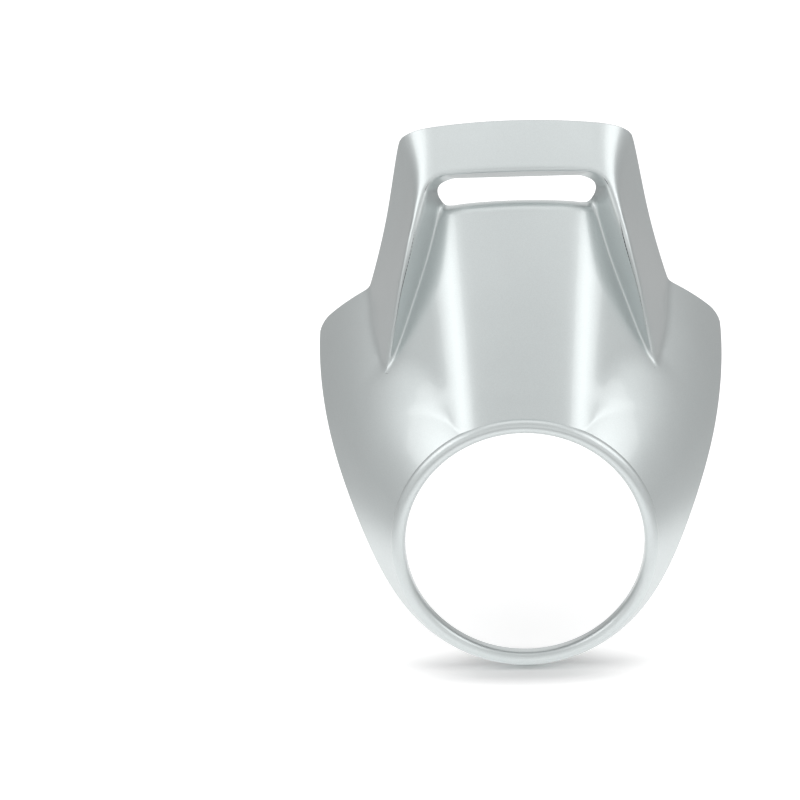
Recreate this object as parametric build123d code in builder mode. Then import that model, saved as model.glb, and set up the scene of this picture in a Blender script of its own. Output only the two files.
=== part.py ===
"""Headlight cowl for a motorcycle with a round lamp: one moulded shell and four threaded inserts.

Millimetres. X is to the right, Y to the rear, Z up. The lamp's axis is the Y axis, and the origin
is the centre of the lamp opening, where its straight wall starts behind the rolled lip.

The shell is an outer form less an inner form. Both come from the same functions, and the inner one
has every face moved inwards by the wall. The hood leans back from the lip. Along its slope, T is
the distance up from its foot, and N is the height in front of its middle line.
"""
import os
from collections import namedtuple
from math import asin, cos, degrees, radians, sin, tan

from build123d import *

# Lamp opening and its rolled lip
opening_radius = 93.0
lip_roll = 5.75
lip_depth = 5.0
wall = 3.0

# Nacelle, a flared body of revolution about the lamp's axis
flare_step = 0.5
flare_angle = 35.0
flare_bend = 617.0
nacelle_depth = 255.0

# Hood, a crowned panel between two crests, with a flank on each side
hood_lean = 40.0
hood_root = 11.5
panel_crown = 227.0
crest_half_foot = 47.0
crest_half_lip = 59.2
crest_radius = 16.0
flank_angle = 45.0
flank_grip = 8.0
skirt_splay = 20.0
form_depth = 150.0

# Air slot between the hood's rolled upper edge and the band
hood_length = 186.0
hood_roll = 9.0
slot_height = 16.0
slot_half_width = 63.5
slot_corner = 7.0
slot_sill = 12.0
slot_overcut = 6.0

# Arch, two pillars that a band joins at the top. At each distance along the slope stand the
# half width and the level of its shoulders, the splay of its sides and the shoulders' radius.
band_reveal = 20.0
inner_round_share = 1 / 3
Station = namedtuple("Station", "along half level splay radius")
arch_stations = [
    Station(60.0, 107.5, -64.0, 19.0, 3.0),
    Station(110.0, 95.5, -20.0, 18.5, 4.0),
    Station(160.0, 83.5, 3.0, 18.5, 5.0),
    Station(200.0, 78.8, 8.0, 21.0, 9.0),
    Station(250.0, 88.5, 4.5, 26.0, 26.0),
]

# Recess between the pillars. At each distance along the slope its side wall runs from a foot
# to the ridge of the pillar, each given as half a width and a level.
recess_open = 40.0
recess_end_tilt = 12.0
recess_dig = 10.0
recess_corner = 12.0
Side = namedtuple("Side", "along foot foot_level top top_level")
recess_sides = [
    Side(56.0, 111.0, -66.0, 112.0, -64.5),
    Side(83.0, 95.5, -52.5, 101.0, -43.5),
    Side(114.0, 83.3, -37.0, 92.5, -20.0),
    Side(142.0, 73.5, -23.0, 84.0, -4.0),
    Side(hood_length + slot_height, 62.0, 2.0, 72.0, 20.0),
]

# Rear edge in the side view, as places along Y and Z
collar_depth = 6.0
trail_foot = -92.0
trail_points = [(15.5, -43.0), (30.0, -14.0), (91.0, 40.5)]
trail_start_way = (0.12, 1.0)
trail_end_way = (1.0, 0.42)
wing_corner = (222.0, 109.0)
wing_notch = (192.0, 151.0)
arch_corner = (163.0, 283.8)
wing_corner_radius = 10.0
notch_radius = 4.0
arch_corner_radius = 9.0

# Threaded inserts and the bosses that hold them
insert_radius = 4.3
insert_length = 10.0
flange_radius = 5.4
flange_height = 1.0
thread_radius = 2.5
boss_radius = 7.5
boss_hole_spare = 2.0
rib_reach = 6.0
rib_thickness = 2.5
rib_step = 3.0
hood_boss_half = 38.0
hood_boss_height = 178.0
hood_boss_seat = 86.0
side_boss_half = 122.0
side_boss_height = 52.0
side_boss_seat = 72.0

lip_outer = opening_radius + 2 * lip_roll
slope_up = Vector(0, sin(radians(hood_lean)), cos(radians(hood_lean)))
slope_out = Vector(0, -cos(radians(hood_lean)), sin(radians(hood_lean)))
hood_foot = Vector(0, 0, lip_outer)
band_start = hood_length + slot_height


def slope_plane(along):
    """The plane across the slope at a distance up it: local x is X and local y is N."""
    return Plane(origin=hood_foot + slope_up * along, x_dir=(1, 0, 0), z_dir=-slope_up)


def nacelle(inset):
    """The flared body, with its skin moved in by the inset."""
    start = radians(flare_angle)
    end = asin(sin(start) - nacelle_depth / flare_bend)
    first = (inset * sin(start), lip_outer - flare_step - inset * cos(start))
    with BuildPart() as body:
        with BuildSketch(Plane.YZ):
            with BuildLine():
                throat = Line((-lip_roll, first[1]), first)
                flare = JernArc(
                    first, (cos(start), sin(start)), flare_bend - inset, degrees(end - start)
                )
                Polyline(flare @ 1, ((flare @ 1).X, 0), (-lip_roll, 0), throat @ 0)
            make_face()
        revolve(axis=Axis.Y)
    return body.part


def recess_foot(along):
    """How far out the recess's side wall stands at a distance up the slope."""
    along = min(max(along, recess_sides[0].along), recess_sides[-1].along)
    for low, high in zip(recess_sides, recess_sides[1:]):
        if along <= high.along:
            share = (along - low.along) / (high.along - low.along)
            return low.foot + share * (high.foot - low.foot)


def hood_section(along, inset, drop):
    """The hood's section: a crowned top, round crests, flanks, and feet inside the pillars."""
    run = along / hood_length
    half = crest_half_foot + (crest_half_lip - crest_half_foot) * run
    half -= inset * tan(radians(flank_angle / 2))
    level = -inset - drop
    edge = level - half**2 / (2 * panel_crown)
    flank = max(recess_foot(along) + flank_grip - inset, half + crest_radius)
    skirt = edge - (flank - half) * tan(radians(flank_angle))
    foot = flank + (form_depth + skirt) * tan(radians(skirt_splay))
    with BuildSketch(slope_plane(along)) as section:
        with BuildLine():
            ThreePointArc((-half, edge), (0, level), (half, edge))
            Polyline((half, edge), (flank, skirt), (foot, -form_depth))
            Line((foot, -form_depth), (-foot, -form_depth))
            Polyline((-foot, -form_depth), (-flank, skirt), (-half, edge))
        make_face()
        fillet(section.vertices().group_by(Axis.Y)[-1], crest_radius - inset)
    return section.sketch


def hood(inset):
    """The leaning panel with its flanks, and the lower sill that carries on under the band."""
    with BuildPart() as panel:
        add(hood_section(-hood_root, inset, 0))
        for side in recess_sides[:-1]:
            add(hood_section(side.along, inset, 0))
        add(hood_section(hood_length - inset, inset, 0))
        loft(ruled=True)
        top = panel.faces().sort_by(lambda face: face.center().dot(slope_up))[-1]
        front = top.edges().sort_by(lambda edge: edge.center().dot(slope_out))[-1]
        fillet(front, hood_roll - inset)
    with BuildPart() as sill:
        add(hood_section(hood_length - slot_height, inset, slot_sill))
        add(hood_section(band_start + slot_overcut + wall, inset, slot_sill))
        loft()
    with BuildPart() as both:
        add(panel)
        add(sill)
    return both.part


def arch(inset):
    """The arch before its recess: a crowned front, round shoulders and splayed sides."""
    with BuildPart() as body:
        for station in arch_stations:
            lean = radians(station.splay)
            crown = band_reveal - inset
            level = station.level - inset
            half = station.half - inset / cos(lean) + inset * tan(lean)
            foot = half + (form_depth + level) * tan(lean)
            with BuildSketch(slope_plane(station.along)) as section:
                with BuildLine():
                    ThreePointArc((-half, level), (0, crown), (half, level))
                    Polyline(
                        (half, level), (foot, -form_depth), (-foot, -form_depth), (-half, level)
                    )
                make_face()
                shoulders = section.vertices().group_by(Axis.Y)[-1]
                rounding = max(station.radius - inset, station.radius * inner_round_share)
                fillet(shoulders, rounding)
        loft()
    return body.part


def recess_section(side, inset):
    """The recess's section: its side walls moved out by the inset, and an open top."""
    rise = Vector(side.top - side.foot, side.top_level - side.foot_level).normalized()
    foot = Vector(side.foot, side.foot_level) + Vector(rise.Y, -rise.X) * inset
    low = foot - rise * ((recess_dig + inset) / rise.Y)
    high = foot + rise * ((recess_open - foot.Y) / rise.Y)
    place = slope_plane(side.along)
    if side is recess_sides[-1]:
        place = slope_plane(band_start + inset).rotated((recess_end_tilt, 0, 0))
    with BuildSketch(place) as section:
        with BuildLine():
            Polyline(
                (low.X, low.Y), (high.X, high.Y), (-high.X, high.Y), (-low.X, low.Y), close=True
            )
        make_face()
    return section.sketch


def recess(inset):
    """What is taken from between the pillars, with its sides and end moved out by the inset."""
    with BuildPart() as body:
        for side in recess_sides:
            add(recess_section(side, inset))
        loft()
        end = body.faces().sort_by(lambda face: face.center().dot(slope_up))[-1]
        fillet(end.edges().filter_by(Axis.X, reverse=True), recess_corner + inset)
    return body.part


def form(inset):
    """The whole cowl as a solid, with its skin moved in by the inset."""
    with BuildPart() as whole:
        add(arch(inset))
        add(recess(inset), mode=Mode.SUBTRACT)
        add(hood(inset))
        add(nacelle(inset))
    return whole.part


def side_view():
    """The room that the shell keeps, as a side view drawn right through."""
    top = arch_corner[1] + arch_corner[0] * tan(radians(hood_lean))
    with BuildPart() as room:
        with BuildSketch(Plane.YZ) as view:
            with BuildLine():
                trail = Spline(
                    (collar_depth, trail_foot),
                    *trail_points,
                    wing_corner,
                    tangents=[trail_start_way, trail_end_way],
                )
                Polyline(
                    trail @ 1,
                    wing_notch,
                    arch_corner,
                    (0, top),
                    (0, -nacelle_depth),
                    (collar_depth, -nacelle_depth),
                    trail @ 0,
                )
            make_face()
            for corner, radius in (
                (wing_corner, wing_corner_radius),
                (wing_notch, notch_radius),
                (arch_corner, arch_corner_radius),
            ):
                fillet(view.vertices().sort_by_distance((corner[0], corner[1], 0))[0], radius)
        extrude(amount=nacelle_depth, both=True)
    return room.part


def boss_place(half, height, seat):
    """The plane on a boss's seat, facing forwards into the boss."""
    return Plane(origin=(half, seat, height), x_dir=(1, 0, 0), z_dir=(0, -1, 0))


def bosses(places, skin):
    """The bosses inside the shell, each grown forward until it meets the skin."""
    with BuildPart() as posts:
        for place in places:
            with BuildSketch(place):
                Circle(boss_radius)
            extrude(amount=nacelle_depth)
            with BuildSketch(place.offset(rib_step)):
                Rectangle(2 * (boss_radius + rib_reach), rib_thickness)
            extrude(amount=nacelle_depth)
        add(skin, mode=Mode.INTERSECT)
        for place in places:
            with BuildSketch(place):
                Circle(insert_radius)
            extrude(amount=insert_length + boss_hole_spare, mode=Mode.SUBTRACT)
    return posts.part


def lip():
    """The rolled lip round the lamp opening: a hollow half round with a leg on each side."""
    middle = opening_radius + lip_roll
    hollow = lip_roll - wall
    with BuildPart() as ring:
        with BuildSketch(Plane.YZ):
            with BuildLine():
                ThreePointArc((0, middle - lip_roll), (-lip_roll, middle), (0, middle + lip_roll))
                Polyline(
                    (0, middle + lip_roll),
                    (lip_depth, middle + lip_roll),
                    (lip_depth, middle + hollow),
                    (0, middle + hollow),
                )
                ThreePointArc((0, middle + hollow), (-hollow, middle), (0, middle - hollow))
                Polyline(
                    (0, middle - hollow),
                    (lip_depth, middle - hollow),
                    (lip_depth, middle - lip_roll),
                    (0, middle - lip_roll),
                )
            make_face()
        revolve(axis=Axis.Y)
    return ring.part


def slot():
    """What is cut through between the hood's rolled edge and the foot of the band."""
    middle = (hood_length + band_start + slot_overcut) / 2
    face = Plane(origin=hood_foot + slope_up * middle, x_dir=(1, 0, 0), z_dir=-slope_out)
    with BuildPart() as cutter:
        with BuildSketch(face):
            RectangleRounded(2 * slot_half_width, slot_height + slot_overcut, slot_corner)
        extrude(amount=form_depth)
    return cutter.part


insert_places = {
    "hood_insert_left": boss_place(-hood_boss_half, hood_boss_height, hood_boss_seat),
    "hood_insert_right": boss_place(hood_boss_half, hood_boss_height, hood_boss_seat),
    "side_insert_left": boss_place(-side_boss_half, side_boss_height, side_boss_seat),
    "side_insert_right": boss_place(side_boss_half, side_boss_height, side_boss_seat),
}

outer = form(0)
inner = form(wall)

with BuildPart() as cowl_shell:
    add(outer)
    add(inner, mode=Mode.SUBTRACT)
    add(slot(), mode=Mode.SUBTRACT)
    add(side_view(), mode=Mode.INTERSECT)
    add(bosses(insert_places.values(), outer))
    add(lip())

os.makedirs("parts", exist_ok=True)
cowl_shell.part.label = "cowl_shell"
export_step(cowl_shell.part, "parts/cowl_shell.step")

for name, place in insert_places.items():
    with BuildPart() as insert:
        with BuildSketch(place):
            Circle(insert_radius)
            Circle(thread_radius, mode=Mode.SUBTRACT)
        extrude(amount=insert_length)
        with BuildSketch(place):
            Circle(flange_radius)
            Circle(thread_radius, mode=Mode.SUBTRACT)
        extrude(amount=-flange_height)
    insert.part.label = name
    export_step(insert.part, f"parts/{name}.step")
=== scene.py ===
"""Silver headlight cowl: a moulded and lacquered shell with threaded brass inserts."""
from functools import partial
from math import cos, hypot, pi, radians, sin, tan

import bpy
import numpy as np
from bpy.props import FloatProperty, FloatVectorProperty, PointerProperty
from bpy.types import Node, NodeSocket, Operator, Panel, PropertyGroup
from mathutils import Matrix, Vector


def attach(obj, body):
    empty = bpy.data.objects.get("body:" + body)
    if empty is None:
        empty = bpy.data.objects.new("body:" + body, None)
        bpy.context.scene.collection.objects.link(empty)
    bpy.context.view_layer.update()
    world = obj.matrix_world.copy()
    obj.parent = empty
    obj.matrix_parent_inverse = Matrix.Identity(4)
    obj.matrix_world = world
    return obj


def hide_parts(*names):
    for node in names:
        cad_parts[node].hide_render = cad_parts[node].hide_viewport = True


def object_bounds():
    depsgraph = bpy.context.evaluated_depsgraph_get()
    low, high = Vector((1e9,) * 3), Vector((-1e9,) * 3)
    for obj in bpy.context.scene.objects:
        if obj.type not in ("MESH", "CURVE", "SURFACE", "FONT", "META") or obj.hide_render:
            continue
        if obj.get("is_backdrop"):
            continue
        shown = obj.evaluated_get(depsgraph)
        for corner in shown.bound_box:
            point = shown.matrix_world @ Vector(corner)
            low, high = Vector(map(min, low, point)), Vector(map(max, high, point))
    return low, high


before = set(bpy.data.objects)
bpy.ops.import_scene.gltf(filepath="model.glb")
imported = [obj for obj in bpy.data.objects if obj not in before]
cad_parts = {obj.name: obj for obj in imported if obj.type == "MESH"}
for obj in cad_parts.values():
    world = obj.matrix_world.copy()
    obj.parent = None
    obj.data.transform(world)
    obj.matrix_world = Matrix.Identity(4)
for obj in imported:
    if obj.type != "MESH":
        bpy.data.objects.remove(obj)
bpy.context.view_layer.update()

bl_info = {
    "name": "Headlight cowl",
    "version": (1, 0, 0),
    "blender": (4, 5, 0),
    "location": "3D View > Sidebar > Cowl",
    "description": "Builds a silver headlight cowl, its threaded inserts and its studio",
    "category": "Object",
}

MM = 0.001

# Sizes of the cowl in millimetres, as in the solid model, apart from softer ones for the hood's roll,
# the blends and the round of the shoulders
LIP_MIDDLE, LIP_DEPTH, LIP_END_ROUND = 98.75, 5.0, 0.7
FLARE_STEP, FLARE_ANGLE, FLARE_BEND = 0.5, radians(35.0), 617.0
LEAN = radians(40.0)
PANEL_CROWN = 227.0
CREST_FOOT, CREST_LIP, CREST_TURN = 47.0, 59.2, radians(33.0)
FLANK_GRIP = 8.0
SKIRT_SPLAY, SKIRT_BLEND = radians(20.0), 16.0
HOOD_LENGTH, HOOD_ROLL, HOOD_ROOT = 186.0, 12.0, 11.5
BAND_START, BAND_REVEAL, BAND_BOW = 202.0, 20.0, 530.0
# Way up the slope, half width, level, splay in degrees and radius of the shoulder
ARCH_STATIONS = [
    (60.0, 107.5, -64.0, 19.0, 3.0),
    (110.0, 95.5, -20.0, 18.5, 4.0),
    (160.0, 83.5, 3.0, 18.5, 6.0),
    (200.0, 78.8, 8.0, 21.0, 20.0),
    (250.0, 88.5, 4.5, 26.0, 52.0),
]
# Way up the slope, then half width and level at the foot and at the ridge
RECESS_SIDES = [
    (56.0, 111.0, -66.0, 112.0, -64.5),
    (83.0, 95.5, -52.5, 101.0, -43.5),
    (114.0, 83.3, -37.0, 92.5, -20.0),
    (142.0, 73.5, -23.0, 84.0, -4.0),
    (202.0, 62.0, 2.0, 72.0, 20.0),
]
RECESS_TILT, RECESS_CORNER = radians(12.0), 12.0
# Side view, to the rear and up: the wing's rear edge and the corners above it
REAR_LINE = [(6.0, -92.0), (15.5, -43.0), (30.0, -14.0), (91.0, 40.5), (222.0, 109.0)]
REAR_WAYS = [(0.12, 1.0), (1.0, 0.42)]
WING_NOTCH, ARCH_CORNER = (192.0, 151.0), (163.0, 283.8)
# Out, up the slope and in front of it: the slot's lower corner, its edge, and the band's front edge
SLOT_CORNER = [(63.2, 178.5, -10.5), (62.0, 183.5, -12.0), (61.0, 187.5, -12.5)]
SLOT_EDGE = [(61.0, 187.5, -12.5), (62.7, 189.5, -7.5), (63.6, 192.0, -4.0), (63.4, 195.0, -1.5)]
SLOT_EDGE += [(61.6, 198.5, 0.0), (58.0, 201.2, 0.0)]
SLOT_EDGE += [(x, BAND_START, 0.0) for x in (52.0, 40.0, 20.0, 0.0)]
BAND_EDGE = [(71.2, 189.0, 15.0), (68.0, 194.5, 13.8), (63.0, 198.0, 13.2), (56.0, 199.1, 13.8)]
# Heights, and the half widths there from which the rear edge is sought
ARCH_GUESS = [151.0, 281.0], [125.0, 90.0]
WING_GUESS = [-92.0, -43.0, 0.0, 110.0], [56, 100, 132, 170]
# How far up the slope the floor, the arch and the nacelle meet in one point
POLE_ALONG = 62.0
SLOT_BLEND = 13.0
CROWN_LEVEL, CROWN_REACH = -60.0, 80.0
RIM = 0.9

# Bosses, their ribs, and the inserts in them
BOSS_SEATS = [(38.0, 86.0, 178.0), (122.0, 72.0, 52.0)]
BOSS_RADIUS, HOLE_DEPTH = 7.5, 12.0
RIB_HALF, RIB_THICK, RIB_SET_BACK = 13.5, 2.5, 3.0
FOOT_ROUND, FOOT_SUNK = 1.8, 0.8
# Distance outside the outline and depth below the seat, from the middle out
TOP_ROUND = [(-0.5, 0.0), (-0.15, 0.15), (0.0, 0.5), (0.0, 0.9)]
BOSS_TOP = [(-BOSS_RADIUS, HOLE_DEPTH), (-3.6, HOLE_DEPTH), (-3.3, 11.9), (-3.2, 11.6)]
BOSS_TOP += [(-3.2, 0.6), (-3.2, 0.3), (-3.1, 0.1), (-2.9, 0.0), (-2.6, 0.0), (-0.9, 0.0), *TOP_ROUND]
RIB_TOP = [(-RIB_THICK / 2, 0.0), (-0.8, 0.0), *TOP_ROUND]
# Radius and height above the seat, once round the section
INSERT_SECTION = [(3.55, 1.0), (4.9, 1.0), (5.2, 0.93), (5.37, 0.75), (5.4, 0.6), (5.4, 0.0), (4.0, 0.0)]
INSERT_SECTION += [(4.0, -1.2), (4.0, -9.4), (3.9, -9.7), (3.6, -10.0), (3.3, -10.0), (3.05, -9.75)]
INSERT_SECTION += [(3.0, -9.4), (3.0, 0.3), (3.05, 0.45), (3.55, 1.0)]
THREAD_RUN = 0.0088

# Quads of the outer skin: along its valleys and edges, and across its sheets
RING_CELLS, VALLEY_CELLS, LIP_CELLS = 26, 40, 16
SIDE_CELLS, BAND_CELLS, OUTER_VALLEY_CELLS = 17, 29, 38
FLOOR_ACROSS, WALL_ACROSS, FACE_ACROSS, BOWL_ROUND = 38, 18, 26, 110
SLOT_CELLS = VALLEY_CELLS + LIP_CELLS
TURNED_POINTS = 49

# Levels of the studio, where 1 is white, and how far from the lip the paper dims, in metres; the paper's
# dimming is painted light falloff in its colour
PAPER_NEAR, PAPER_FAR = 0.3, 0.75
# Painted reflection: how far from the lip reaches the paper's glow that only glossy rays see
GLOSS_NEAR, GLOSS_FAR = 0.25, 0.55
SHADOW_NEAR, SHADOW_FAR, SHADOW_FLAT = 0.04, 0.13, 3.0
PAPER_PAINTED_DIM, PAPER_PAINTED_GLOW, PAPER_WHITE = 0.65, 0.38, 1.4
AIR_PLAIN, AIR_LEVEL, AIR_TOP = 0.75, 0.63, 0.73
AIR_FRONT, AIR_REAR, AIR_SIDE = 0.35, 0.28, -0.2
SIDE_LEVEL, TOP_LEVEL = 1.25, 0.5
WHITE = (1, 1, 1, 1)

ALONG = np.array((0.0, sin(LEAN), cos(LEAN)))
OUT = np.array((0.0, -cos(LEAN), sin(LEAN)))
ACROSS_ONLY = np.diag((1.0, 0.0, 0.0))


# Colour and nodes


def linear(text):
    """The linear colour of an sRGB hex value."""
    parts = [int(text[i : i + 2], 16) / 255 for i in (1, 3, 5)]
    return [c / 12.92 if c <= 0.04045 else ((c + 0.055) / 1.055) ** 2.4 for c in parts] + [1.0]


def add_node(tree, kind, values=None):
    """Adds a node, with a value or a link for each attribute or socket that is named or numbered."""
    made = tree.nodes.new(kind)
    for name, value in (values or {}).items():
        value = value.outputs[0] if isinstance(value, Node) else value
        if isinstance(value, NodeSocket):
            tree.links.new(value, made.inputs[name])
        elif isinstance(name, int) or name in made.inputs:
            made.inputs[name].default_value = value
        else:
            setattr(made, name, value)
    return made


def span(source, low, high, start, end):
    """The settings that map a source's low to start and its high to end."""
    return {"Value": source, "From Min": low, "From Max": high, "To Min": start, "To Max": end}


# Smooth joins between surfaces, each given as a field that is negative inside


def smooth_least(a, b, reach):
    """The lesser of two fields, with a round where they meet."""
    near = np.clip(reach - np.abs(a - b), 0, None) / reach
    return np.minimum(a, b) - near**3 * reach / 6


def smooth_most(a, b, reach):
    """The greater of two fields, with a round where they meet."""
    return -smooth_least(-a, -b, reach)


def round_most(a, b, radius):
    """The greater of two fields, with a circular round of that radius between them."""
    corner = np.hypot(np.maximum(a + radius, 0), np.maximum(b + radius, 0))
    return np.minimum(np.maximum(a, b), -radius) + corner


def reach_of(radius, turn):
    """The reach that gives a smooth join that radius where its surfaces turn by that angle."""
    return 6 * radius * (1 - np.cos(turn / 2))


def ease(value, low, high):
    """Goes smoothly from 0 at low to 1 at high."""
    share = np.clip((value - low) / (high - low), 0, 1)
    return share * share * (3 - 2 * share)


def through(stops, rows, ends=None):
    """A smooth line through rows of values at their stops, carried on straight at its ends."""
    stops, rows = np.asarray(stops, float), np.asarray(rows, float)
    gaps = np.diff(stops)
    steps = np.diff(rows, axis=0) / gaps[:, None]
    matrix, right = np.eye(len(stops)), np.zeros_like(rows)
    for i in range(1, len(stops) - 1):
        matrix[i, i - 1 : i + 2] = gaps[i - 1], 2 * (gaps[i - 1] + gaps[i]), gaps[i]
        right[i] = 6 * (steps[i] - steps[i - 1])
    if ends is not None:
        matrix[0, :2], right[0] = (2 * gaps[0], gaps[0]), 6 * (steps[0] - ends[0])
        matrix[-1, -2:], right[-1] = (gaps[-1], 2 * gaps[-1]), 6 * (ends[1] - steps[-1])
    bends = np.linalg.solve(matrix, right)

    def at(where):
        where = np.asarray(where, float)
        inside = np.clip(where, stops[0], stops[-1])
        i = np.clip(np.searchsorted(stops, inside) - 1, 0, len(stops) - 2)
        gap, a = gaps[i][..., None], (inside - stops[i])[..., None]
        b = gap - a
        value = (bends[i] * b**3 + bends[i + 1] * a**3) / (6 * gap)
        value += (rows[i] / gap - bends[i] * gap / 6) * b
        value += (rows[i + 1] / gap - bends[i + 1] * gap / 6) * a
        slope = (bends[i + 1] * a**2 - bends[i] * b**2) / (2 * gap)
        slope += steps[i] - (bends[i + 1] - bends[i]) * gap / 6
        return value + slope * (where - inside)[..., None]

    return at


def bisect(field, low, high):
    """Where each field value changes sign between low and high."""
    low, high = np.array(low, float), np.array(high, float)
    start = field(low) > 0
    for _ in range(48):
        middle = (low + high) / 2
        same = (field(middle) > 0) == start
        low, high = np.where(same, middle, low), np.where(same, high, middle)
    return (low + high) / 2


arch_at = through([row[0] for row in ARCH_STATIONS], [row[1:] for row in ARCH_STATIONS])
recess_at = through([row[0] for row in RECESS_SIDES], [row[1:] for row in RECESS_SIDES])


def place(x, along, height):
    """The point at a distance up the slope of the hood and a height in front of it."""
    x, along, height = np.broadcast_arrays(x, along, height)
    flat = np.array((0.0, 0.0, shape.lip_outer)) + along[..., None] * ALONG + height[..., None] * OUT
    flat[..., 0] = x
    return flat


def on_slope(points):
    """How far out, how far up the slope and how high in front of it each point is."""
    lower = points - np.array((0.0, 0.0, shape.lip_outer))
    return np.abs(points[..., 0]), lower @ ALONG, lower @ OUT


def around(angle, out, depth):
    """Points at an angle round the lamp's axis, a distance out from it and a depth along it."""
    angle, out, depth = np.broadcast_arrays(angle, out, depth)
    return np.stack([out * np.cos(angle), depth, out * np.sin(angle)], -1)


def crest(along):
    """Half the width between the hood's crests, and their level."""
    half = CREST_FOOT + (CREST_LIP - CREST_FOOT) * along / HOOD_LENGTH
    return half, -(half**2) / (2 * PANEL_CROWN)


class Shape:
    """The cowl's fields, for the sizes and radii that the user has set."""

    def __init__(self, sizes):
        for name in CowlSizes.__annotations__:
            setattr(self, name, getattr(sizes, name) / MM)
        self.lip_outer = self.opening + 2 * self.lip_roll

    def hood(self, points):
        x, along, height = on_slope(points)
        half, edge = crest(along)
        crown = (height + x**2 / (2 * PANEL_CROWN)) / np.hypot(1, x / PANEL_CROWN)
        flank = (height - edge + x - half) * cos(pi / 4)
        top = smooth_most(crown, flank, reach_of(self.crest_round, CREST_TURN))
        foot = recess_at(np.maximum(along, RECESS_SIDES[0][0]))[..., 0] + FLANK_GRIP
        skirt = edge - (foot - half)
        side = (x - foot + (height - skirt) * tan(SKIRT_SPLAY)) * cos(SKIRT_SPLAY)
        body = np.maximum(smooth_most(top, side, SKIRT_BLEND), -along - HOOD_ROOT)
        return round_most(body, along - HOOD_LENGTH, HOOD_ROLL)

    def arch_body(self, points):
        x, along, height = on_slope(points)
        half, level, splay, radius = np.moveaxis(arch_at(along), -1, 0)
        splay = np.radians(splay)
        rise = BAND_REVEAL - level
        bow = (half**2 + rise**2) / (2 * rise)
        front = np.hypot(x, height - BAND_REVEAL + bow) - bow
        side = (x - half + (height - level) * np.tan(splay)) * np.cos(splay)
        turn = pi / 2 - splay - np.arcsin(np.clip(half / bow, -1, 1))
        return smooth_most(front, side, reach_of(np.maximum(radius, 2.0), turn))

    def recess(self, points):
        x, along, height = on_slope(points)
        sides = recess_at(np.maximum(along, RECESS_SIDES[0][0]))
        foot, foot_level, top, top_level = np.moveaxis(sides, -1, 0)
        out, up = top - foot, top_level - foot_level
        side = ((x - foot) * up - (height - foot_level) * out) / np.hypot(out, up)
        end = (along - BAND_START + height * tan(RECESS_TILT)) * cos(RECESS_TILT)
        return round_most(side, end, RECESS_CORNER)

    def arch(self, points):
        along = on_slope(points)[1]
        pillar_reach = reach_of(self.ridge_round, radians(132.0))
        band_reach = reach_of(1.4 * self.ridge_round, radians(78.0))
        reach = pillar_reach + (band_reach - pillar_reach) * ease(along, 170.0, 200.0)
        body = smooth_most(self.arch_body(points), -self.recess(points), reach)
        sunk = np.maximum(POLE_ALONG + 2 - along, 0) ** 2 / 10
        return np.maximum(body + sunk, POLE_ALONG - 20 - along)

    def nacelle(self, points):
        out = np.hypot(points[..., 0], points[..., 2])
        middle = self.lip_outer - FLARE_STEP - FLARE_BEND * cos(FLARE_ANGLE)
        return np.hypot(points[..., 1] - FLARE_BEND * sin(FLARE_ANGLE), out - middle) - FLARE_BEND

    def lip(self, points):
        out = np.hypot(points[..., 0], points[..., 2]) - LIP_MIDDLE
        return np.hypot(out, np.minimum(points[..., 1], 0)) - self.lip_roll

    def whole(self, points):
        along = on_slope(points)[1]
        soft = reach_of(self.blend_round, radians(40.0))
        low_reach = 0.6 + (soft - 0.6) * ease(along, 0.0, 26.0)
        low_reach += (3.0 - soft) * ease(along, 50.0, 90.0)
        low = smooth_least(self.hood(points), self.nacelle(points), low_reach)
        tight = reach_of(self.valley_round, radians(106.0))
        tight = tight + (SLOT_BLEND - tight) * ease(along, HOOD_LENGTH - 17.0, HOOD_LENGTH + 1.0)
        return smooth_least(low, self.arch(points), tight)

    def inner(self, points):
        return self.whole(points) + self.wall


shape = None


def unit(ways):
    """Vectors made one long."""
    return ways / np.linalg.norm(ways, axis=-1, keepdims=True)


def only(ways):
    """What lets points move along their own way only."""
    return ways[:, :, None] * ways[:, None, :]


def slope_of(field, points):
    """The gradient of a field at each point."""
    step = 0.02
    moves = np.eye(3) * step
    return np.stack([field(points + m) - field(points - m) for m in moves], -1) / (2 * step)


def settle(points, free=None, fields=None, rounds=14, longest=6.0):
    """Moves points until each field, or the whole cowl's, is zero, in the ways that free allows."""
    points, fields = np.array(points, float), fields or [shape.whole]
    for _ in range(rounds):
        values = np.stack([field(points) for field in fields], -1)
        slopes = np.stack([slope_of(field, points) for field in fields], -2)
        if free is not None:
            slopes = slopes @ free
        turned = np.swapaxes(slopes, -1, -2)
        pull = np.linalg.solve(slopes @ turned + 1e-9 * np.eye(len(fields)), values[..., None])
        step = -(turned @ pull)[..., 0]
        length = np.linalg.norm(step, axis=-1, keepdims=True)
        points += step * np.minimum(1, longest / np.maximum(length, 1e-9))
    return points


def normals_at(points):
    """The unit normals of the whole cowl's field."""
    return unit(slope_of(shape.whole, points))


def travelled(line):
    """How far along a line each of its points is."""
    return np.concatenate([[0], np.cumsum(np.linalg.norm(np.diff(line, axis=0), axis=1))])


def nearest(line, spot):
    """Which point of a line is nearest to a spot."""
    return np.argmin(np.linalg.norm(line - spot, axis=1))


def resample(line, shares):
    """Points along a dense line at shares of its length."""
    runs = travelled(line)
    where = np.asarray(shares) * runs[-1]
    return np.stack([np.interp(where, runs, values) for values in line.T], -1)


def landmarks(line, marks, counts, total):
    """Points along a dense line, evenly spaced between some marked points of it."""
    runs = travelled(line)
    shares = [0, *runs[marks] / runs[-1], 1]
    return resample(line, np.interp(np.arange(total + 1), [0, *counts, total], shares))


def eased(count, start, end):
    """Shares from 0 to 1 that lie closer together at the start, the end or both."""
    u = np.linspace(0, 1, count + 1)
    if start and end:
        curve = (1 - np.cos(pi * u)) / 2
    else:
        curve = 1 - np.cos(pi * u / 2) if start else np.sin(pi * u / 2)
    flat = 1 - max(start, end)
    return flat * u + (1 - flat) * curve


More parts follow.
